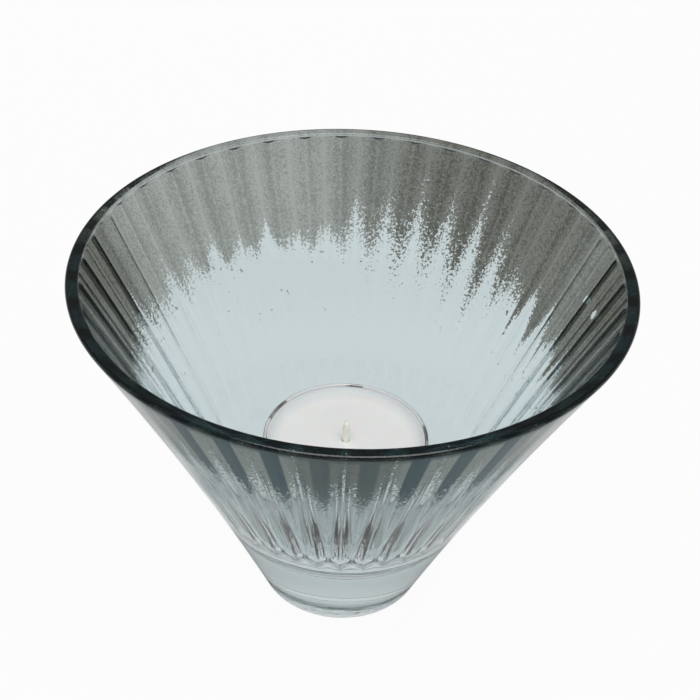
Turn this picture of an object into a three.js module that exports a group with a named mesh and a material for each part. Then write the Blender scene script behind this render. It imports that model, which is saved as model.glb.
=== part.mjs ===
// Votive candle holder: a flared bowl of pressed clear glass with a fluted inner wall,
// and the tealight that stands loose on its floor. Millimetres, +Z up.
// The origin is the centre of the foot's underside, and Z is the axis of the bowl.

import * as THREE from 'three';

// Driving dimensions of the glass bowl
const bowlHeight = 88;
const rimDiameter = 118;
const rimWall = 2.8;
const rimRound = 0.7;
const footDiameter = 39;
const footRound = 0.8;
const wallBow = 1.2;
const puntDiameter = 27;
const puntDepth = 1.0;
const floorHeight = 22;
const floorMargin = 0.8;
const floorFillet = 12;

// Driving dimensions of the flutes that the plunger presses into the inner wall
const fluteCount = 40;
const fluteDepthAtRim = 1.0;
const fluteDepthAtFloor = 0.6;
const fluteRiseAboveFloor = 9;
const fluteRunOutAtFloor = 4;
const fluteRunOutAtRim = 1.2;

// Driving dimensions of the tealight
const cupHeight = 18.6;
const cupDiameter = 37.2;
const cupFoil = 0.3;
const cupFootRound = 1.6;
const cupLipReach = 0.4;
const cupLipRoll = 0.9;
const waxDrop = 1.2;
const waxMeniscus = 0.5;
const waxMeniscusWidth = 2;
const wickDiameter = 1.8;
const wickStand = 6;
const sustainerDiameter = 12.5;
const sustainerSheet = 0.3;
const sustainerCollarHeight = 3;

// Clearance between pieces that sit inside one another
const clearance = 0.3;

// Facets: columns across one flute, sides of the small turned pieces, and arc steps in a quarter turn
const columnsPerFlute = 4;
const cupSides = 48;
const wickSides = 16;
const arcStepsPerQuarter = 3;

const rimRadius = rimDiameter / 2;
const footRadius = footDiameter / 2;
const cupRadius = cupDiameter / 2;
const cupFootRadius = cupRadius - cupFootRound;
const cupFloorHeight = floorHeight + cupFoil;
const cupTopHeight = floorHeight + cupHeight;
const wickRadius = wickDiameter / 2;
const sustainerRadius = sustainerDiameter / 2;

// A corner of an outline in the plane of radius and height, with the radius of its round.
function corner(radius, height, round = 0) {
  return { place: new THREE.Vector2(radius, height), round };
}

// Points of an outline whose corners are rounded by arcs tangent to both of their sides.
function roundedOutline(corners) {
  return corners.flatMap(({ place, round }, index) => {
    if (round === 0) return [place];
    const back = corners[index - 1].place.clone().sub(place).normalize();
    const ahead = corners[index + 1].place.clone().sub(place).normalize();
    const halfAngle = Math.acos(THREE.MathUtils.clamp(back.dot(ahead), -1, 1)) / 2;
    const middle = back.clone().add(ahead).normalize();
    const centre = middle.multiplyScalar(round / Math.sin(halfAngle)).add(place);
    const sweep = Math.PI - 2 * halfAngle;
    const steps = Math.max(1, Math.ceil(sweep / (Math.PI / 2) * arcStepsPerQuarter));
    const start = back.clone().multiplyScalar(round / Math.tan(halfAngle)).add(place);
    const turn = Math.sign(back.cross(ahead)) * -1;
    return Array.from({ length: steps + 1 }, (_, step) =>
      start.clone().rotateAround(centre, turn * sweep * step / steps));
  });
}

// A turned solid: the outline, given from the bottom outwards and up, swept round the Z axis.
function turned(outline, sides) {
  const geometry = new THREE.LatheGeometry(outline, sides);
  geometry.rotateX(Math.PI / 2);
  return geometry;
}

// A named piece with its finish.
function piece(name, geometry, finish) {
  const mesh = new THREE.Mesh(geometry, new THREE.MeshStandardMaterial(finish));
  mesh.name = name;
  return mesh;
}

// Glass bowl: one pressing, with a smooth outer wall that flares a little more towards the rim,
// a round lip, straight flutes inside, a deep floor fillet, a thick foot and a shallow punt below.

// Lean of the outer wall at the rim, and the sharp corner that the round lip is tangent to.
const rimLean = Math.atan2(rimRadius - footRadius + 4 * wallBow, bowlHeight);
const rimCornerRadius = rimRadius + rimRound * (Math.tan((Math.PI / 2 + rimLean) / 2) - 1);

// Radius of the outer wall at a height: a straight cone, bowed inwards by wallBow at half height.
function outerWallRadius(height) {
  const share = height / bowlHeight;
  return footRadius + (rimCornerRadius - footRadius) * share - 4 * wallBow * share * (1 - share);
}

// The inner wall is the straight line from the lip that is tangent to the floor's fillet.
const floorFlatRadius = cupFootRadius + floorMargin;
const lipInside = new THREE.Vector2(rimRadius - rimWall, bowlHeight - rimRound);
const filletCentre = new THREE.Vector2(floorFlatRadius, floorHeight + floorFillet);
const lipToFillet = lipInside.clone().sub(filletCentre);
const innerLean = Math.atan2(lipToFillet.x, lipToFillet.y) - Math.asin(floorFillet / lipToFillet.length());

function innerWallRadius(height) {
  return lipInside.x + (height - lipInside.y) * Math.tan(innerLean);
}

const fluteFoot = floorHeight + fluteRiseAboveFloor;
const fluteHead = bowlHeight - rimRound * (1 + Math.sin(innerLean));

// Depth of the flutes at a height: it tapers from rim to floor and runs out softly at both ends.
function fluteDepth(height) {
  const share = (height - fluteFoot) / (fluteHead - fluteFoot);
  const taper = THREE.MathUtils.lerp(fluteDepthAtFloor, fluteDepthAtRim, share);
  const fromFloor = THREE.MathUtils.smoothstep(height, fluteFoot, fluteFoot + fluteRunOutAtFloor);
  const fromRim = 1 - THREE.MathUtils.smoothstep(height, fluteHead - fluteRunOutAtRim, fluteHead);
  return taper * fromFloor * fromRim;
}

// Shape across one flute, from 0 at the sharp ridges to 1 along its hollow middle.
function fluteHollow(angle) {
  const across = angle / (2 * Math.PI) * fluteCount;
  const fromMiddle = 2 * (across - Math.floor(across + 1e-6)) - 1;
  return Math.max(0, 1 - fromMiddle * fromMiddle);
}

function glassBowl() {
  const wallSteps = 5;
  const outerWall = Array.from({ length: wallSteps - 1 }, (_, step) => {
    const height = bowlHeight * (step + 1) / wallSteps;
    return corner(outerWallRadius(height), height);
  });
  const fluteHeights = [
    fluteFoot,
    fluteFoot + fluteRunOutAtFloor / 2,
    fluteFoot + fluteRunOutAtFloor,
    (fluteFoot + fluteHead) / 2,
    fluteHead - fluteRunOutAtRim,
    fluteHead - fluteRunOutAtRim / 2,
  ];
  const innerWall = fluteHeights.map((height) => corner(innerWallRadius(height), height)).reverse();
  const puntRadius = puntDiameter / 2;
  const outline = roundedOutline([
    corner(0, puntDepth),
    corner(puntRadius / 2, puntDepth * 3 / 4),
    corner(puntRadius, 0),
    corner(footRadius, 0, footRound),
    ...outerWall,
    corner(rimCornerRadius, bowlHeight, rimRound),
    corner(innerWallRadius(bowlHeight), bowlHeight, rimRound),
    ...innerWall,
    corner(innerWallRadius(floorHeight), floorHeight, floorFillet),
    corner(0, floorHeight),
  ]);
  const geometry = turned(outline, fluteCount * columnsPerFlute);

  // Press the flutes: push the vertices of the inner wall outwards along their own radius.
  const position = geometry.getAttribute('position');
  const vertex = new THREE.Vector3();
  for (let index = 0; index < position.count; index += 1) {
    vertex.fromBufferAttribute(position, index);
    const radius = Math.hypot(vertex.x, vertex.y);
    const onInnerWall = Math.abs(radius - innerWallRadius(vertex.z)) < rimWall / 4;
    if (onInnerWall && vertex.z > fluteFoot && vertex.z < fluteHead) {
      const push = fluteDepth(vertex.z) * fluteHollow(Math.atan2(vertex.y, vertex.x) + 2 * Math.PI);
      vertex.setX(vertex.x * (radius + push) / radius);
      vertex.setY(vertex.y * (radius + push) / radius);
      position.setXYZ(index, vertex.x, vertex.y, vertex.z);
    }
  }
  return geometry;
}

// Tealight cup: drawn aluminium foil with a rounded foot and a lip rolled outwards.
function tealightCup() {
  const inside = cupRadius - cupFoil;
  const insideRound = cupFootRound - cupFoil;
  const lipUnderside = cupTopHeight - cupLipRoll;
  const lipRound = cupLipRoll / 3;
  const outline = roundedOutline([
    corner(0, floorHeight),
    corner(cupRadius, floorHeight, cupFootRound),
    corner(cupRadius, lipUnderside),
    corner(cupRadius + cupLipReach, lipUnderside + cupLipReach / 2),
    corner(cupRadius + cupLipReach, cupTopHeight, lipRound),
    corner(inside, cupTopHeight, lipRound),
    corner(inside, cupFloorHeight, insideRound),
    corner(0, cupFloorHeight),
  ]);
  return turned(outline, cupSides);
}

// Wax fill: cast round the wick and its sustainer, with a soft rise where it meets the cup.
const waxTop = cupTopHeight - waxDrop;

function waxFill() {
  const waxRadius = cupRadius - cupFoil - clearance;
  const discRecess = sustainerRadius + clearance;
  const discRoof = cupFloorHeight + sustainerSheet + clearance;
  const collarRecess = wickRadius + clearance + sustainerSheet + clearance;
  const collarRoof = cupFloorHeight + sustainerCollarHeight + clearance;
  const wickHole = wickRadius + clearance;
  const outline = roundedOutline([
    corner(discRecess, discRoof),
    corner(discRecess, cupFloorHeight),
    corner(waxRadius, cupFloorHeight, cupFootRound),
    corner(waxRadius, waxTop),
    corner(waxRadius - waxMeniscusWidth / 3, waxTop - waxMeniscus * 2 / 3),
    corner(waxRadius - waxMeniscusWidth, waxTop - waxMeniscus),
    corner(wickHole, waxTop - waxMeniscus),
    corner(wickHole, collarRoof),
    corner(collarRecess, collarRoof),
    corner(collarRecess, discRoof),
    corner(discRecess, discRoof),
  ]);
  return turned(outline, cupSides);
}

// Wick sustainer: a pressed tinplate disc whose collar grips the foot of the wick.
function wickSustainer() {
  const bore = wickRadius + clearance;
  const collarRadius = bore + sustainerSheet;
  const outline = roundedOutline([
    corner(bore, cupFloorHeight),
    corner(sustainerRadius, cupFloorHeight),
    corner(sustainerRadius, cupFloorHeight + sustainerSheet),
    corner(collarRadius, cupFloorHeight + sustainerSheet),
    corner(collarRadius, cupFloorHeight + sustainerCollarHeight),
    corner(bore, cupFloorHeight + sustainerCollarHeight),
    corner(bore, cupFloorHeight),
  ]);
  return turned(outline, wickSides * 2);
}

// Wick: a cotton cord that stands in the collar and clears the wax, with its top edge worn round.
function wick() {
  const top = waxTop - waxMeniscus + wickStand;
  const outline = roundedOutline([
    corner(0, cupFloorHeight + clearance),
    corner(wickRadius, cupFloorHeight + clearance),
    corner(wickRadius, top, wickRadius / 2),
    corner(0, top),
  ]);
  return turned(outline, wickSides);
}

const glassFinish = { color: 0xc9d3d2, roughness: 0.05, metalness: 0 };
const foilFinish = { color: 0xb9b7b4, roughness: 0.35, metalness: 1 };
const waxFinish = { color: 0xe6e3df, roughness: 0.55, metalness: 0 };
const wickFinish = { color: 0xe4ddc4, roughness: 0.9, metalness: 0 };
const tinplateFinish = { color: 0xa9a9a6, roughness: 0.4, metalness: 1 };

const candle = new THREE.Group();
candle.add(
  piece('wax_fill', waxFill(), waxFinish),
  piece('wick_sustainer', wickSustainer(), tinplateFinish),
  piece('wick', wick(), wickFinish),
);

const tealight = new THREE.Group();
tealight.add(piece('tealight_cup', tealightCup(), foilFinish), candle);

const holder = new THREE.Group();
holder.add(piece('glass_bowl', glassBowl(), glassFinish), tealight);

export default holder;
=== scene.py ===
import math
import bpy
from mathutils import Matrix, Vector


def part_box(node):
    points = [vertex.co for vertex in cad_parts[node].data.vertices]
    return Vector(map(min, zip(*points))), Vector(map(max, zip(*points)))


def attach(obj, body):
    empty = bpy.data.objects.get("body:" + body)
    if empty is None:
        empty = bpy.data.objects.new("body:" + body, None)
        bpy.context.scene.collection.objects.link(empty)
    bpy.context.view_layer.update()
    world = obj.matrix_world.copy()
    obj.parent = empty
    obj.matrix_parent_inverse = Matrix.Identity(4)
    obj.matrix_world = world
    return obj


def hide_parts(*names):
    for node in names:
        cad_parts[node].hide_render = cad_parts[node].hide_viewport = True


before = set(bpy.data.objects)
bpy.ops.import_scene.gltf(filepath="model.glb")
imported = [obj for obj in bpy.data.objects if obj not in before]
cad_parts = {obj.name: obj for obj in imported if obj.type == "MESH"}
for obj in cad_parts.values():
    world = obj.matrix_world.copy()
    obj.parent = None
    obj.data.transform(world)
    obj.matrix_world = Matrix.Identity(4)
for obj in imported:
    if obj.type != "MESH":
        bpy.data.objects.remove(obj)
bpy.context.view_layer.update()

from types import SimpleNamespace

import bpy
import numpy as np
from mathutils import Matrix, Vector

# Glass bowl: one pressing of clear, faintly blue-grey glass on a thick solid foot. A plunger pressed
# the flutes into its inner wall, the lip was melted round in a flame, and the upper inner wall
# was sprayed with a smoke-grey coating that breaks up into ragged tongues lower down.
mm = 0.001
bowl_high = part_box("glass_bowl")[1]
rim_radius = bowl_high.x
bowl_height = bowl_high.z
rim_wall = 2.8 * mm
lip_round = 0.7 * mm
foot_radius = 19.5 * mm
foot_round = 0.8 * mm
wall_bow = 1.2 * mm
punt_radius = 13.5 * mm
punt_depth = 1.0 * mm
floor_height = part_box("tealight_cup")[0].z
floor_flat_radius = 17.8 * mm
floor_fillet = 12 * mm
flute_count = 40
flute_columns = 16
flute_depth_at_rim = 1.2 * mm
flute_depth_at_floor = 0.6 * mm
flute_rise_above_floor = 9 * mm
flute_run_out_at_floor = 4 * mm
flute_run_out_at_rim = 1.2 * mm

# The rib down the middle of a flute takes this share of its hollow, growing between two heights.
rib_share = 0.45
rib_rise = (0.50, 0.70)

# Under the lip, where the flutes run out, rows lie closer over this share of the inner wall.
dense_rows_share = 0.07


def arc(centre, radius, start, end, count):
    """Points of a circle about centre, from one angle to another, in the plane of radius and height."""
    angle = np.linspace(start, end, count)
    return np.stack([centre[0] + radius * np.cos(angle), centre[1] + radius * np.sin(angle)], -1)


def line(start, end, count):
    """Evenly spaced points from start to end, without either of them."""
    share = np.linspace(0, 1, count + 2)[1:-1, None]
    return np.asarray(start) * (1 - share) + np.asarray(end) * share


def smooth_step(value, low, high):
    """Rises from 0 at low to 1 at high along the curve 3s^2 - 2s^3."""
    share = np.clip((value - low) / (high - low), 0, 1)
    return share * share * (3 - 2 * share)


def around(columns):
    """Directions of the columns, evenly round the axis."""
    return np.linspace(0, 2 * np.pi, columns, endpoint=False)


def turned_mesh(name, radius, height, angle, loop=False):
    """A skin swept round Z: the point of row i and column j lies at radius[i, j] from the axis in the
    direction angle[j], at height[i, j]. The first and last rows are one point each on the axis, or,
    where loop is true, the last row joins the first one again."""
    points = np.stack([radius * np.cos(angle), radius * np.sin(angle), height], -1)
    rings = points if loop else points[1:-1]
    columns = len(angle)
    number = np.arange(len(rings) * columns).reshape(-1, columns)
    beside = np.roll(number, -1, 1)
    quads = np.stack([number, beside, np.roll(beside, -1, 0), np.roll(number, -1, 0)], -1)
    corners = rings.reshape(-1, 3)
    if loop:
        faces = quads.reshape(-1, 4).tolist()
    else:
        first_pole, last_pole = len(corners), len(corners) + 1
        corners = np.concatenate([corners, points[[0, -1], 0]])
        first_fan = np.stack([np.full(columns, first_pole), beside[0], number[0]], -1)
        last_fan = np.stack([number[-1], beside[-1], np.full(columns, last_pole)], -1)
        faces = first_fan.tolist() + quads[:-1].reshape(-1, 4).tolist() + last_fan.tolist()
    mesh = bpy.data.meshes.new(name)
    mesh.from_pydata(corners.tolist(), [], faces)
    mesh.polygons.foreach_set("use_smooth", np.ones(len(faces), bool))
    mesh.update()
    return mesh


def shown(name, mesh, material, body, slot, *nodes):
    """Puts a mesh into the scene as a piece that rides on a body and stands for CAD nodes."""
    piece = bpy.data.objects.new(name, mesh)
    mesh.materials.append(material)
    bpy.context.scene.collection.objects.link(piece)
    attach(piece, body)
    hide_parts(*nodes)
    return piece


def bowl_outline():
    """The bowl's section from the middle of the punt, out over the foot, up the bowed outer wall, over the
    round lip, down the straight inner wall and along the fillet to the middle of the floor. The outer wall
    is a cone that dips inwards by wall_bow at half height; the inner wall is tangent to the fillet. Also
    gives the rows where the inner wall and the sprayed lip start, and the height of the flutes' heads."""
    lean = math.atan2(rim_radius - foot_radius + 4 * wall_bow, bowl_height)
    corner_radius = rim_radius + lip_round * (math.tan((math.pi / 2 + lean) / 2) - 1)
    foot_lean = math.atan2(corner_radius - foot_radius - 4 * wall_bow, bowl_height)
    inside = np.array([rim_radius - rim_wall, bowl_height - lip_round])
    fillet_centre = np.array([floor_flat_radius, floor_height + floor_fillet])
    reach = inside - fillet_centre
    inner_lean = math.atan2(reach[0], reach[1]) - math.asin(floor_fillet / np.hypot(*reach))
    inner_corner = inside[0] + lip_round * math.tan(inner_lean)
    foot_centre = (foot_radius - foot_round * math.tan((math.pi / 2 - foot_lean) / 2), foot_round)
    lip_outer_centre = (rim_radius - lip_round, bowl_height - lip_round)
    lip_inner_centre = (inner_corner + lip_round * math.tan((math.pi / 2 - inner_lean) / 2),
                        bowl_height - lip_round)
    punt_share = np.linspace(0, 1, 12)
    punt = np.stack([punt_radius * punt_share, punt_depth * (1 - punt_share ** 2)], -1)
    foot = arc(foot_centre, foot_round, -math.pi / 2, -foot_lean, count=7)
    lip_outside = arc(lip_outer_centre, lip_round, -lean, math.pi / 2, count=13)
    lip_inside = arc(lip_inner_centre, lip_round, math.pi / 2, math.pi - inner_lean, count=9)
    fillet = arc(fillet_centre, floor_fillet, -inner_lean, -math.pi / 2, count=18)
    share = np.linspace(foot[-1, 1], lip_outside[0, 1], 26)[1:-1] / bowl_height
    wall = np.stack([foot_radius + (corner_radius - foot_radius) * share
                     - 4 * wall_bow * share * (1 - share), share * bowl_height], -1)
    wall_head = lip_inside[-1]
    dense_rows_end = wall_head + (fillet[0] - wall_head) * dense_rows_share
    inner_wall = np.concatenate([line(wall_head, dense_rows_end, count=9),
                                 line(dense_rows_end, fillet[0], count=26)])
    floor = np.stack([np.linspace(floor_flat_radius, 0, 7)[1:], np.full(6, floor_height)], -1)
    outline = np.concatenate([punt, line(punt[-1], foot[0], count=2), foot, wall, lip_outside, lip_inside,
                              inner_wall, fillet, floor])
    first_inside = len(outline) - len(floor) - len(fillet) - len(inner_wall)
    first_sprayed = first_inside - len(lip_inside) - len(lip_outside)
    return outline, first_inside, first_sprayed, wall_head[1]


def bowl_mesh():
    """The outline swept round Z, with its inner wall pressed outwards into flutes. Across one flute the
    hollow is 1 - (2u - 1)^2, which leaves sharp ridges between the flutes. In the upper part a share of it
    gives way to the same curve at twice the pace, which leaves a low rib down the middle. The depth tapers
    from the rim to the floor and runs out at both ends."""
    outline, first_inside, first_sprayed, flute_head = bowl_outline()
    fluted = np.arange(len(outline)) >= first_inside
    angle = around(flute_count * flute_columns)
    across = angle / (2 * np.pi) * flute_count % 1
    halves = 2 * across % 1
    height = outline[:, 1]
    rib = rib_share * smooth_step(height / bowl_height, *rib_rise)[:, None]
    hollow = (1 - rib) * (1 - (2 * across - 1) ** 2) + rib * (1 - (2 * halves - 1) ** 2)
    flute_foot = floor_height + flute_rise_above_floor
    share = np.clip((height - flute_foot) / (flute_head - flute_foot), 0, 1)
    depth = flute_depth_at_floor + (flute_depth_at_rim - flute_depth_at_floor) * share
    depth = depth * smooth_step(height, flute_foot, flute_foot + flute_run_out_at_floor)
    depth = depth * (1 - smooth_step(height, flute_head - flute_run_out_at_rim, flute_head)) * fluted
    radius = outline[:, :1] + depth[:, None] * hollow
    mesh = turned_mesh("glass_bowl_skin", radius, np.repeat(height[:, None], len(angle), 1), angle)
    row = np.repeat(np.arange(len(outline) - 1), len(angle))
    mesh.polygons.foreach_set("material_index", (row >= first_sprayed).astype(np.int32))
    return mesh


class Shade:
    """A socket of a node tree that takes part in sums: an operator adds the Math node for it."""

    def __init__(self, tree, socket=None):
        self.tree = tree
        self.socket = socket

    def node(self, kind, settings=(), sockets=(), output=0):
        """Adds a node of that kind, sets its settings, then fills its sockets with values or links."""
        made = self.tree.nodes.new(kind)
        for key, value in dict(settings).items():
            setattr(made, key, value)
        for key, value in dict(sockets).items():
            if isinstance(value, Shade):
                self.tree.links.new(value.socket, made.inputs[key])
            else:
                made.inputs[key].default_value = value
        return Shade(self.tree, made.outputs[output] if made.outputs else None)

    def math(self, operation, *values):
        """A Math node on one or two values."""
        return self.node("ShaderNodeMath", {"operation": operation}, enumerate(values))

    def __add__(self, other):
        return self.math("ADD", self, other)

    def __radd__(self, other):
        return self.math("ADD", other, self)

    def __sub__(self, other):
        return self.math("SUBTRACT", self, other)

    def __rsub__(self, other):
        return self.math("SUBTRACT", other, self)

    def __mul__(self, other):
        return self.math("MULTIPLY", self, other)

    def __rmul__(self, other):
        return self.math("MULTIPLY", other, self)

    def __truediv__(self, other):
        return self.math("DIVIDE", self, other)

    def __rtruediv__(self, other):
        return self.math("DIVIDE", other, self)

    def __pow__(self, other):
        return self.math("POWER", self, other)

    def __rpow__(self, other):
        return self.math("POWER", other, self)

    def __neg__(self):
        return self.math("SUBTRACT", 0.0, self)

    def __abs__(self):
        return self.math("ABSOLUTE", self)

    def fraction(self):
        """What is left over the next lower whole number."""
        return self.math("FRACT", self)

    def larger(self, other):
        """The larger of two values."""
        return self.math("MAXIMUM", self, other)

    def step(self, low, high):
        """0 below low, 1 above high, smooth between."""
        return self.node("ShaderNodeMapRange", {"interpolation_type": "SMOOTHSTEP"},
                         {0: self, 1: low, 2: high, 3: 0.0, 4: 1.0})

    def parts(self):
        """The three numbers of a vector."""
        first = self.node("ShaderNodeSeparateXYZ", (), {0: self})
        return [Shade(self.tree, socket) for socket in first.socket.node.outputs]

    def vector(self, x, y, z):
        """A vector of three numbers."""
        return self.node("ShaderNodeCombineXYZ", (), {0: x, 1: y, 2: z})

    def noise(self, place, scale, detail=2.0, roughness=0.5):
        """Noise between 0 and 1, mostly near a half."""
        return self.node("ShaderNodeTexNoise", (), {
            "Vector": place, "Scale": scale, "Detail": detail, "Roughness": roughness})

    def blend(self, share, first, second):
        """A colour between two colours: the first at share 0, the second at share 1."""
        return self.node("ShaderNodeMix", {"data_type": "RGBA"}, {0: share, 6: first, 7: second}, 2)

    def bump(self, height, strength, distance):
        """A normal tipped by a relief."""
        return self.node("ShaderNodeBump", (), {
            "Height": height, "Strength": strength, "Distance": distance})

    def principled(self, **sockets):
        """The Principled shader; an underscore in a socket's name stands for a space."""
        return self.node("ShaderNodeBsdfPrincipled", (), {
            key.replace("_", " "): value for key, value in sockets.items()})

    def mixed(self, share, first, second):
        """A shader between two shaders."""
        return self.node("ShaderNodeMixShader", (), {0: share, 1: first, 2: second})


def new_material(name):
    """A material with an empty node tree, and the tree's Object coordinates in metres."""
    material = bpy.data.materials.new(name)
    material.use_nodes = True
    material.node_tree.nodes.clear()
    shade = Shade(material.node_tree)
    return material, shade, shade.node("ShaderNodeTexCoord", output="Object")


def set_surface(shade, surface):
    """Makes a shader the surface of its material."""
    shade.node("ShaderNodeOutputMaterial", (), {"Surface": surface})


def from_axis(place):
    """How far a place lies from the bowl's axis."""
    x, y, z = place.parts()
    return (x * x + y * y) ** 0.5


# The glass: its colour in the wall, in the thick foot and at the ground sole.
wall_tint = (0.597, 0.683, 0.695, 1)
foot_tint = (0.51, 0.59, 0.60, 1)
sole_tint = (0.66, 0.73, 0.74, 1)
glass_index = 1.5


def pressed_glass(shade, place, tint, relief):
    """Clear glass of a tint, with the soft upright streaks that a press mould leaves, and more relief."""
    x, y, z = place.parts()
    turn = shade.math("ARCTAN2", y, x)
    upright = shade.vector(shade.math("COSINE", turn), shade.math("SINE", turn), z * 3.0)
    streaks = shade.noise(upright, scale=24.0, detail=3.0)
    return shade.principled(
        Base_Color=tint, Roughness=0.0, IOR=glass_index, Transmission_Weight=1.0,
        Normal=shade.bump(streaks + relief, strength=0.04, distance=0.5 * mm))


def outer_material():
    """The bare glass of the foot and the outer wall, deeper in tint where the foot is thick, and paler
    and roughly ground at the sole."""
    material, shade, place = new_material("clear_pressed_glass")
    level = place.parts()[2] / floor_height
    tint = shade.blend(level.step(0.7, 1.4), foot_tint, wall_tint)
    tint = shade.blend(level.step(0.05, 0.35), sole_tint, tint)
    ground = shade.noise(place, scale=320.0) * (1.0 - level.step(0.03, 0.16)) * 15.0
    set_surface(shade, pressed_glass(shade, place, tint, ground))
    return material


def wall_places(shade, place):
    """Where a point of the inner wall lies. right and back are 1 at that side of the bowl and -1 at the
    opposite one, reach is its radius in rim radii, share its height in bowl heights, turn its direction
    counted in flutes, ridge 1 on a ridge and 0 in the middle of a flute, chance a number from 0 to 1 for
    each ridge, and speck and grain are two fine noises about 0."""
    x, y, z = place.parts()
    radius = from_axis(place)
    turn = shade.math("ARCTAN2", y, x) / (2 * math.pi) * flute_count
    nearest_ridge = shade.math("FLOORED_MODULO", shade.math("FLOOR", turn + 0.5), flute_count)
    return SimpleNamespace(
        right=x / radius, back=y / radius, reach=radius / rim_radius,
        height=z, share=z / bowl_height,
        turn=turn, ridge=abs(turn.fraction() - 0.5) * 2,
        chance=shade.node("ShaderNodeTexWhiteNoise", {"noise_dimensions": "1D"}, {"W": nearest_ridge}),
        speck=shade.noise(place, scale=1700.0, detail=4.0, roughness=0.7) - 0.5,
        grain=shade.noise(place, scale=1800.0, roughness=0.8) - 0.5)


# The spray's lower edge, and what shifts it, in bowl heights.
spray_edge = 0.705
edge_wander = 0.06
edge_tear = 0.10
edge_rise_at_back = 0.012
spike_height = 0.03
spike_more_by_chance = 0.05
spike_more_where_worn = 0.07
finger_length = 0.10
front_gap = 0.03
front_gap_more_on_ridges = 0.09

# How far specks of the spray stray over its edge, in bowl heights.
stray = 0.18
stray_more_where_worn = 0.52
stray_more_at_front = 0.30
stray_more_on_front_ridges = 0.45
stray_more_at_left = 0.16

# Marks on the spray, among them a painted highlight line under the lip and painted shade dabs at the
# flute heads. Heights are in bowl heights; the chips are placed by degrees and height; widths are in
# flutes for a chip and in half flutes for the dabs.
lip_start = (0.994, 0.997)
glint_line_start = (0.990, 0.992)
glint_line_share = 0.22
flute_head_shade_height = 0.9875
flute_head_shade_half_height = 0.0045
flute_head_shade_half_width = 0.4
chips = ((8.4, 0.869), (2.7, 0.866))
chip_half_width = 0.12
chip_half_height = 0.011


def spray_cover(shade, place, wall):
    """How far the spray covers the wall, from 0 to 1. It lies above an edge that wanders round the bowl,
    lets clear spikes up along the ridges, most of all on the worn stretch at the back, sends fingers down
    the flutes at the right, stays short at the front, and is torn and broken into specks. Loose flecks lie
    below the edge, a line under the lip towards the back is thinned as a painted highlight, and two
    chips are missing."""
    front, left = -wall.back, -wall.right
    worn = (wall.right * 0.42 + wall.back * 0.908).step(0.80, 0.99)
    short = front.step(0.55, 0.95)
    loose = left.step(0.50, 0.95)
    wander = shade.noise(shade.vector(wall.right, wall.back, 0.0), scale=2.2) - 0.5
    stretched = shade.vector(wall.right * 60, wall.back * 60, wall.height * 160)
    tear = shade.noise(stretched, scale=1.0, detail=3.0, roughness=0.6) - 0.5
    spike_by_chance = wall.chance * (spike_more_by_chance + worn * spike_more_where_worn)
    spike = wall.ridge ** 2 * (spike_height + spike_by_chance)
    finger = wall.right.step(0.35, 0.75) * (1.0 - wall.ridge) ** 2 * wall.chance * finger_length
    gap = short * (front_gap + wall.ridge * front_gap_more_on_ridges)
    shift = gap + spike - finger + wall.back * edge_rise_at_back
    edge = spray_edge + shift + wander * edge_wander - tear * edge_tear
    stray_at_front = short * (stray_more_at_front + wall.ridge * stray_more_on_front_ridges)
    straying = stray + worn * stray_more_where_worn + stray_at_front + loose * stray_more_at_left
    cover = (wall.share - edge + wall.speck * straying).step(0.0, 0.015)
    fleck = shade.noise(place, scale=420.0, roughness=0.6).step(0.695, 0.705) * wall.share.step(0.52, 0.60)
    # Painted highlight: a thin line under the lip, towards the back, has less spray, so it shows light like
    # a glint on the lip's inner edge.
    glint_line = wall.share.step(*glint_line_start) * (1.0 - wall.share.step(*lip_start)) * wall.back.step(-0.1, 0.2)
    cover = cover.larger(fleck) * (1.0 - glint_line * glint_line_share)
    for chip_angle, chip_share in chips:
        along = (wall.turn - chip_angle / 360 * flute_count) / chip_half_width
        up = (wall.share - chip_share) / chip_half_height
        cover = cover * (along * along + up * up + wall.speck * 3.0).step(0.7, 1.0)
    return cover


# The spray as light from the cavity passes through it, where it is thin and where it is dense.
sheer_smoke = (0.252, 0.259, 0.231, 1)
sheer_smoke_dense = (0.096, 0.102, 0.087, 1)
dark_smoke = (0.068, 0.067, 0.053, 1)
dark_smoke_dense = (0.012, 0.012, 0.008, 1)
# Painted shade: the colour of the dark dabs at the flute heads.
flute_head_shade = (0.004, 0.004, 0.004, 1)
# Painted shade: the nearly black colour of the lip.
lip_painted_shade = (0.001, 0.006, 0.008, 1)


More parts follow.
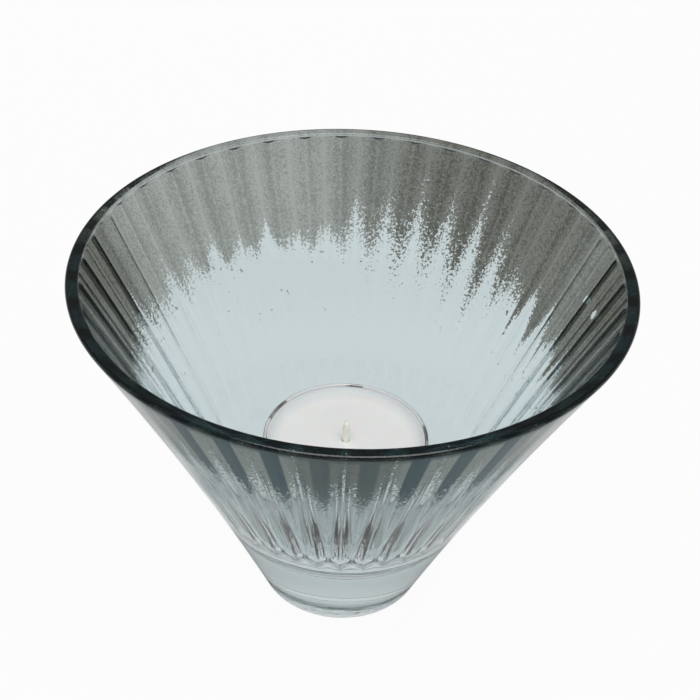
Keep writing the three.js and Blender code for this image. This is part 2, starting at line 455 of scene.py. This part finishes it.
def smoke_colour(shade, place, wall):
    """The spray's colour, between sheer and dark smoke. It is darker to the right of the back and at the
    front, and at the two far sides, where the extra darkness is painted shade. It is darker in the flutes
    than on the ridges and ribs, and grainy and cloudy. A dark dab at the head of each flute is painted
    shade. The lip is painted shade, nearly black, with pinholes: all of it at the front, only its outer
    edge towards the back, and none of it in the middle of the back."""
    cloud = shade.noise(place, scale=180.0) - 0.5
    groove = (1.0 - wall.ridge).step(0.25, 0.95)
    crest = (abs((wall.turn * 2).fraction() - 0.5) * 2).step(0.55, 1.0)
    density = 0.35 + wall.grain * 3.4 + groove * (0.22 + wall.chance * 0.50) + cloud * 0.6 - crest * 0.4
    right_of_back = (wall.right * 0.64 + wall.back * 0.77).step(0.55, 0.98)
    # Painted shade: the spray is darkened at the two far sides of the bowl.
    far_sides_painted_shade = abs(wall.right).step(0.92, 1.0)
    front = (-wall.back).step(0.05, 0.35)
    sheer = shade.blend(density, sheer_smoke, sheer_smoke_dense)
    dark_tint = shade.blend(density, dark_smoke, dark_smoke_dense)
    smoke = shade.blend(right_of_back.larger(far_sides_painted_shade).larger(front), sheer, dark_tint)
    # Painted shade: a dark dab at the head of each flute, where the flutes run out under the lip.
    dab_up = (wall.share - flute_head_shade_height) / flute_head_shade_half_height
    dab_along = wall.ridge / flute_head_shade_half_width
    flute_head_dab = 1.0 - (dab_along ** 2 + dab_up ** 2).step(0.6, 1.0)
    smoke = shade.blend(flute_head_dab, smoke, flute_head_shade)
    # Painted shade: the lip is coloured nearly black, all of it at the front and only its outer edge
    # towards the back, with pinholes in that black.
    outer_edge = wall.reach.step(0.980, 0.986) * (1.0 - (wall.back - wall.right * 0.12).step(0.75, 0.95))
    lip_shade = wall.share.step(*lip_start) * outer_edge.larger(1.0 - wall.back.step(0.0, 0.30))
    pinhole = shade.noise(place, scale=1500.0, detail=1.0).step(0.66, 0.70)
    return shade.blend(lip_shade * (1.0 - pinhole), smoke, lip_painted_shade)


# The spray as it lines the glass, seen through the outer wall, striped with painted light and shade.
painted_light_land = (0.72, 0.76, 0.70, 1)
painted_light_land_dull = (0.38, 0.41, 0.37, 1)
painted_shade_hollow = (0.022, 0.052, 0.062, 1)
painted_shade_hollow_blue = (0.006, 0.110, 0.150, 1)
front_grey = (0.17, 0.21, 0.20, 1)
front_grey_share = 0.65
lining_share = 0.94


def spray_lining(shade, wall):
    """The spray from inside the glass, a dull lining with painted light and shade on it: grainy pale lands
    behind the ridges and dark hollows behind the flutes, bluer towards the front and dark just under the
    lip, with a plainer grey over the middle of the front."""
    front = -wall.back
    # Painted light on the lands, which fade into the painted shade of the hollows just under the lip.
    on_land = wall.ridge.step(0.34, 0.46) * (1.0 - wall.share.step(0.96, 0.985))
    painted_land = shade.blend(wall.grain * 2.2 + 0.5, painted_light_land, painted_light_land_dull)
    hollow = shade.blend(front.step(0.35, 0.75), painted_shade_hollow, painted_shade_hollow_blue)
    mid_front = (1.0 - abs(wall.right).step(0.13, 0.20)) * front.step(0.8, 0.9)
    painted_stripes = shade.blend(on_land, hollow, painted_land)
    return shade.principled(
        Base_Color=shade.blend(mid_front * front_grey_share, painted_stripes, front_grey),
        Roughness=0.6, Specular_IOR_Level=0.0)


def inner_material():
    """The lip and the inner wall: glass, under the sheer smoke-grey spray in its upper part. Light that
    reaches the spray from the cavity passes through it; light that reaches it from inside the glass is
    mostly lost in it, so the lining shows there. A fine relief makes the lip sparkle."""
    material, shade, place = new_material("smoke_sprayed_glass")
    wall = wall_places(shade, place)
    cover = spray_cover(shade, place, wall)
    tint = shade.blend(cover, wall_tint, smoke_colour(shade, place, wall))
    sparkle = shade.noise(place, scale=2500.0) * wall.share.step(0.992, 0.996) * 30.0
    glass = pressed_glass(shade, place, tint, sparkle)
    inside_glass = shade.node("ShaderNodeNewGeometry", output="Backfacing")
    lining = spray_lining(shade, wall)
    set_surface(shade, shade.mixed(cover * inside_glass * lining_share, glass, lining))
    return material


bowl = shown("glass_bowl_skin", bowl_mesh(), outer_material(), "holder", "clear_glass", "glass_bowl")
bowl.data.materials.append(inner_material())

# Tealight cup: drawn from thin aluminium foil, with a rounded foot and a lip rolled outwards. It stands
# loose on the glass floor, and wax has crept over most of its lip.
cup_low, cup_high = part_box("tealight_cup")
cup_lip_reach = 0.4 * mm
cup_radius = cup_high.x - cup_lip_reach
cup_foil = 0.3 * mm
cup_foot_round = 1.6 * mm
cup_lip_roll = 0.6 * mm
cup_columns = 240
drawn_dark, drawn_bright = (0.46, 0.46, 0.46, 1), (0.94, 0.94, 0.93, 1)
lip_dark, lip_bright = (0.22, 0.22, 0.22, 1), (0.55, 0.55, 0.54, 1)
wax_on_lip = (0.82, 0.83, 0.83, 1)


def turned_outline(name, outline, columns, loop=False):
    """A plain turned piece: the same outline of radius and height in every direction round Z."""
    radius = np.repeat(outline[:, :1], columns, 1)
    height = np.repeat(outline[:, 1:], columns, 1)
    return turned_mesh(name, radius, height, around(columns), loop)


def cup_mesh():
    """The foil's section, out along the floor, up the wall, over the rolled lip and back down inside,
    swept round Z."""
    top, bottom = cup_high.z, cup_low.z
    inner = cup_radius - cup_foil
    lip_centre = (cup_radius + cup_lip_reach - cup_lip_roll / 2, top - cup_lip_roll / 2)
    foot_centre = (cup_radius - cup_foot_round, bottom + cup_foot_round)
    inner_floor = bottom + cup_foil
    outline = np.concatenate([
        np.array([[0.0, bottom]]),
        line((0, bottom), (foot_centre[0], bottom), count=5),
        arc(foot_centre, cup_foot_round, -math.pi / 2, 0, count=8),
        line((cup_radius, foot_centre[1]), (cup_radius, top - cup_lip_roll), count=10),
        arc(lip_centre, cup_lip_roll / 2, -math.pi / 3, math.pi * 0.9, count=12),
        line((inner, lip_centre[1]), (inner, foot_centre[1]), count=10),
        arc(foot_centre, cup_foot_round - cup_foil, 0, -math.pi / 2, count=8),
        line((foot_centre[0], inner_floor), (0, inner_floor), count=5),
        np.array([[0.0, inner_floor]]),
    ])
    return turned_outline("tealight_cup_skin", outline, cup_columns)


def foil_material():
    """Satin drawn aluminium: upright drawing lines on the wall, soft crinkles, and a darker lip that is
    coated with wax on its inner side, apart from a few bare stretches."""
    material, shade, place = new_material("drawn_foil")
    x, y, z = place.parts()
    crinkle = shade.noise(place, scale=500.0, detail=3.0)
    lip = ((z - cup_low.z) / (cup_high.z - cup_low.z)).step(0.92, 0.95)
    drawn = shade.noise(shade.vector(x * 900, y * 900, z * 60), scale=1.0).step(0.38, 0.62)
    wall = shade.blend(drawn, drawn_dark, drawn_bright)
    rolled = shade.blend(crinkle.step(0.35, 0.65), lip_dark, lip_bright)
    bare = shade.noise(shade.vector(x, y, 0.0), scale=85.0, detail=1.0).step(0.53, 0.57)
    waxed = lip * (1.0 - (from_axis(place) / cup_radius).step(1.002, 1.010)) * (1.0 - bare)
    set_surface(shade, shade.principled(
        Base_Color=shade.blend(waxed, shade.blend(lip, wall, rolled), wax_on_lip),
        Metallic=1.0 - waxed, Roughness=0.25 + crinkle * 0.25,
        Normal=shade.bump(crinkle, strength=0.6, distance=0.4 * mm)))
    return material


shown("tealight_cup_skin", cup_mesh(), foil_material(), "tealight", "aluminium_foil", "tealight_cup")

# Wick sustainer: a disc of thin tinplate, pressed with a collar that is crimped round the wick's foot.
# It lies on the cup's floor, in the wax, and keeps the wick upright. The solid itself is shown.
sustainer_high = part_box("wick_sustainer")[1]
sustainer_sheet = 0.3 * mm
tinplate_grey = (0.66, 0.66, 0.65, 1)


def tinplate_material():
    """Pressed tinplate: cool grey metal with fine scratches."""
    material, shade, place = new_material("pressed_tinplate")
    scratch = shade.noise(place, scale=2000.0)
    set_surface(shade, shade.principled(
        Base_Color=tinplate_grey, Metallic=1.0, Roughness=0.25 + scratch * 0.2))
    return material


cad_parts["wick_sustainer"].material_slots[0].material = tinplate_material()

# Wick: a cord of three cotton strands, waxed stiff and cut short. Its foot stands in the sustainer's
# collar, and its top clears the wax.
wick_low, wick_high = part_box("wick")
wick_rows = 60
wick_columns = 36
wick_strands = 3
wick_turns = 7
wick_strand_depth = 0.10
wick_worn_end = 0.03
cotton_cream, cotton_pale = (0.96, 0.94, 0.80, 1), (0.99, 0.98, 0.90, 1)


def wick_mesh():
    """A round cord swept up the axis. Its strands twist round each other, so the radius swells and
    shrinks as the cosine of the strands' number times the angle less the twist. The top end is worn
    round: its radius follows a quarter of an ellipse."""
    share = np.linspace(0, 1, wick_rows)[:, None]
    angle = around(wick_columns)
    twist = share * wick_turns * 2 * math.pi
    strand = 1 - wick_strand_depth + wick_strand_depth * np.cos(wick_strands * angle - twist)
    into_end = np.clip((share - (1 - wick_worn_end)) / wick_worn_end, 0, 1)
    taper = np.sqrt(1 - into_end ** 2)
    taper[0] = 0
    height = wick_low.z + (wick_high.z - wick_low.z) * share * np.ones_like(angle)
    return turned_mesh("wick_cord", wick_high.x * strand * taper, height, angle)


def cotton_material():
    """Cream cotton with fine fibres, a little translucent with wax."""
    material, shade, place = new_material("waxed_cotton")
    fibre = shade.noise(place, scale=3000.0)
    set_surface(shade, shade.principled(
        Base_Color=shade.blend(fibre, cotton_cream, cotton_pale),
        Roughness=0.8, Subsurface_Weight=0.3, Subsurface_Scale=1.0 * mm,
        Normal=shade.bump(fibre, strength=0.4, distance=0.1 * mm)))
    return material


shown("wick_cord", wick_mesh(), cotton_material(), "candle", "cotton_wick", "wick")

# Wax fill: white paraffin, poured into the cup round the wick and its sustainer. As it set it sank a
# little, and it clings to the foil and to the wick, where it stands higher.
wax_low, wax_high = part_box("wax_fill")
wax_clearance = 0.3 * mm
wax_foot_round = 1.6 * mm
wax_wetting = 0.2 * mm
wax_dip = 0.5 * mm
wax_creep = 0.8 * mm
wax_climb = 0.35 * mm
wax_curl = 0.7 * mm
wax_grip = 0.05 * mm
wax_columns = 192
wax_white, wax_bright = (0.90, 0.89, 0.88, 1), (0.96, 0.955, 0.94, 1)
wax_edge_grey = (0.74, 0.76, 0.77, 1)


def wax_mesh():
    """The wax's section, swept round Z: flat below, straight at the side, and recessed for the disc, the
    collar and the wick. Its top dips by wax_dip and rises by two exponential curves, to the foil, where it
    creeps wax_creep up the wall, and to the wick, where it climbs by wax_climb."""
    side = wax_high.x
    low, high = wax_low.z, wax_high.z
    wick_radius = wick_high.x
    disc = sustainer_high.x + wax_clearance
    disc_roof = low + sustainer_sheet + wax_clearance
    collar = wick_radius + 2 * wax_clearance + sustainer_sheet
    collar_roof = sustainer_high.z + wax_clearance
    hole = wick_radius + wax_grip
    brim = side + wax_wetting
    top_radius = np.linspace(brim, hole, 60)
    rise_at_foil = (wax_dip + wax_creep) * np.exp((top_radius - brim) / wax_curl)
    rise_at_wick = wax_climb * np.exp((hole - top_radius) / wax_curl)
    top_height = high - wax_dip + rise_at_foil + rise_at_wick
    foot_centre = (side - wax_foot_round, low + wax_foot_round)
    outline = np.concatenate([
        np.array([[disc, disc_roof], [disc, low]]),
        line((disc, low), (foot_centre[0], low), count=3),
        arc(foot_centre, wax_foot_round, -math.pi / 2, 0, count=7),
        line((side, foot_centre[1]), (brim, high + wax_creep), count=6),
        np.stack([top_radius, top_height], -1),
        np.array([[hole, collar_roof], [collar, collar_roof], [collar, disc_roof]]),
    ])
    return turned_outline("wax_fill_skin", outline, wax_columns, loop=True)


def wax_material():
    """Paraffin: white, a little translucent, with cloudy patches, and greyer towards the foil."""
    material, shade, place = new_material("white_paraffin")
    cloud = shade.noise(place, scale=160.0, detail=3.0)
    white = shade.blend(cloud, wax_white, wax_bright)
    edge = (from_axis(place) / wax_high.x).step(0.80, 1.02)
    set_surface(shade, shade.principled(
        Base_Color=shade.blend(edge, white, wax_edge_grey),
        Roughness=0.45 + cloud * 0.2, Subsurface_Weight=0.3, Subsurface_Scale=2.0 * mm,
        Normal=shade.bump(cloud, strength=0.15, distance=0.3 * mm)))
    return material


shown("wax_fill_skin", wax_mesh(), wax_material(), "candle", "white_wax", "wax_fill")

# Stage: a wide pale floor, a white world, two soft lamps, and a camera close above the front of the
# bowl, tipped a little to one side.
floor_half = 4.0
floor_mesh = bpy.data.meshes.new("studio_floor")
floor_mesh.from_pydata([(-floor_half, -floor_half, 0), (floor_half, -floor_half, 0),
                        (floor_half, floor_half, 0), (-floor_half, floor_half, 0)], [], [(0, 1, 2, 3)])
floor = bpy.data.objects.new("studio_floor", floor_mesh)
bpy.context.scene.collection.objects.link(floor)
paper_grey = (0.45, 0.45, 0.45, 1)
sky_grey = (0.15, 0.15, 0.15, 1)
plain_white = (1, 1, 1, 1)
floor_white_share = 0.96
world_white_strength = 0.975

# How much of the white shows in reflections: of the world, of the floor, and of the floor's whiter parts.
world_mirrored = 0.05
floor_mirrored = 0.08
ring_mirrored_more = 0.35
backdrop_mirrored_more = 0.45
ring_inner_edge = (28 * mm, 33 * mm)
ring_outer_edge = (38 * mm, 46 * mm)
backdrop_edge = (-2 * mm, 16 * mm)


def seen_white(shade, mirrored):
    """The share of white that a light path sees: all of it from the camera and through glass, and the
    mirrored share in reflections."""
    camera_path, clear_path, glossy_path = (
        shade.node("ShaderNodeLightPath", output=f"Is {kind} Ray")
        for kind in ("Camera", "Transmission", "Glossy"))
    return shade.math("MINIMUM", camera_path + clear_path + glossy_path * mirrored, 1.0)


def floor_material():
    """Pale paper that looks white and still takes a faint shadow. In reflections a ring of it round the
    foot and all of it behind the holder are whiter than the rest, as in a studio with a white backdrop."""
    material, shade, place = new_material("pale_floor")
    away = from_axis(place)
    ring = away.step(*ring_inner_edge) * (1.0 - away.step(*ring_outer_edge))
    backdrop = place.parts()[1].step(*backdrop_edge)
    mirrored = floor_mirrored + ring * ring_mirrored_more + backdrop * backdrop_mirrored_more
    white = seen_white(shade, mirrored)
    paper = shade.principled(Base_Color=paper_grey, Roughness=0.9, Specular_IOR_Level=0.1)
    glow = shade.node("ShaderNodeEmission", (), {"Color": plain_white, "Strength": 1.0})
    set_surface(shade, shade.mixed(white * floor_white_share, paper, glow))
    return material


floor_mesh.materials.append(floor_material())

world = bpy.data.worlds.new("soft_studio")
bpy.context.scene.world = world
world.use_nodes = True
world.node_tree.nodes.clear()
shade = Shade(world.node_tree)
sky = shade.node("ShaderNodeBackground", (), {"Color": sky_grey, "Strength": 1.0})
white = shade.node("ShaderNodeBackground", (), {"Color": plain_white, "Strength": world_white_strength})
surroundings = shade.mixed(seen_white(shade, world_mirrored), sky, white)
shade.node("ShaderNodeOutputWorld", (), {"Surface": surroundings})


def soft_box(name, place, side, watts, mirrored):
    """A square area lamp that faces the bowl, isn't seen through the glass, and may show in reflections."""
    lamp = bpy.data.lights.new(name, "AREA")
    lamp.size = side
    lamp.energy = watts
    lamp_object = bpy.data.objects.new(name, lamp)
    lamp_object.location = place
    aim = Vector((0, 0, bowl_height / 2)) - Vector(place)
    lamp_object.rotation_euler = aim.to_track_quat("-Z", "Y").to_euler()
    lamp_object.visible_transmission = False
    lamp_object.visible_glossy = mirrored
    bpy.context.scene.collection.objects.link(lamp_object)


# The main lamp stands high over the front; the fill reaches the back of the lifted candle.
soft_box("top_box", place=(0.05, -0.30, 0.97), side=0.8, watts=7.3, mirrored=True)
soft_box("back_fill", place=(-0.25, 0.85, 0.30), side=0.6, watts=4.5, mirrored=False)

# The camera looks at the middle of the mouth from this far and high, then dips and rolls a little.
camera_distance = 4.6 * rim_radius
camera_elevation = math.radians(34.128)
camera_pitch = math.radians(3.749)
camera_roll = math.radians(-2.672)
photo_width = 700
focal_pixels = 1305.1
camera_data = bpy.data.cameras.new("photo_camera")
camera_data.sensor_width = 36
camera_data.lens = focal_pixels / photo_width * camera_data.sensor_width
camera_data.clip_start = 0.01
camera = bpy.data.objects.new("photo_camera", camera_data)
bpy.context.scene.collection.objects.link(camera)
tilt = Matrix.Rotation(math.pi / 2 - camera_elevation - camera_pitch, 4, "X")
roll = Matrix.Rotation(-camera_roll, 4, "Z")
stand = Vector((0, -math.cos(camera_elevation), math.sin(camera_elevation))) * camera_distance
camera.matrix_world = Matrix.Translation(stand + Vector((0, 0, bowl_height))) @ tilt @ roll
bpy.context.scene.camera = camera

bpy.context.scene.view_settings.view_transform = "Standard"

# Light needs many bounces to find its way out of the fluted glass.
light_paths = bpy.context.scene.cycles
light_paths.max_bounces = 24
light_paths.glossy_bounces = 10
light_paths.transmission_bounces = 24
